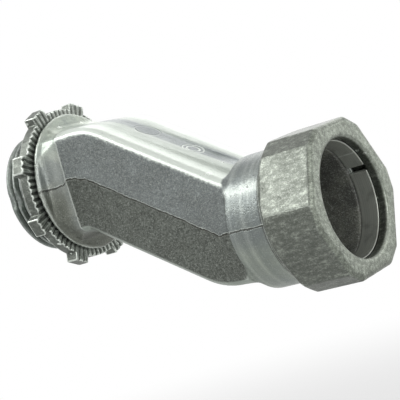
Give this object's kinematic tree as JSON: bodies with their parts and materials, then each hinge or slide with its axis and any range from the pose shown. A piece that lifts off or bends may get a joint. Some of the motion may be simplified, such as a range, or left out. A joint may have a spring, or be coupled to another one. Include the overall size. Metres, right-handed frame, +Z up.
{
  "type": "offset conduit connector",
  "caption": "Die-cast offset compression connector that joins thin-wall conduit to a box knockout, with a toothed locknut, split ring and hexagon compression nut.",
  "frame": {"origin": "centre of the seat face that meets the box wall, on the hub's axis", "axes": "+X along the hub's axis towards the conduit, +Z up, the conduit's axis 19.05 mm below the hub's"},
  "size_m": [0.0755, 0.036, 0.0531],
  "materials": {
    "body_casting": "as cast, satin",
    "locknut_casting": "as cast, satin",
    "nut_casting": "as cast, tumbled",
    "ring_steel": "plated, dull"
  },
  "bodies": {
    "fitting": {"offset_body": "body_casting"},
    "box_locknut": {"locknut": "locknut_casting"},
    "ring": {"compression_ring": "ring_steel"},
    "gland_nut": {"compression_nut": "nut_casting"}
  },
  "joints": [
    {"name": "ring_slide", "type": "slide", "parent": "fitting", "child": "ring", "axis": [1, 0, 0], "range_m": [0, 0.0064]},
    {"name": "nut_turn", "type": "hinge", "parent": "ring", "child": "gland_nut", "pos_m": [0.0591, 0, -0.01905], "axis": [1, 0, 0], "range_deg": [0, 1440]},
    {"name": "locknut_slide", "type": "slide", "parent": "fitting", "child": "box_locknut", "axis": [-1, 0, 0], "range_m": [0, 0.00544]}
  ],
  "couplings": [
    {"joint": "ring_slide", "follows": "nut_turn", "m_per_rad": 0.00025266}
  ]
}
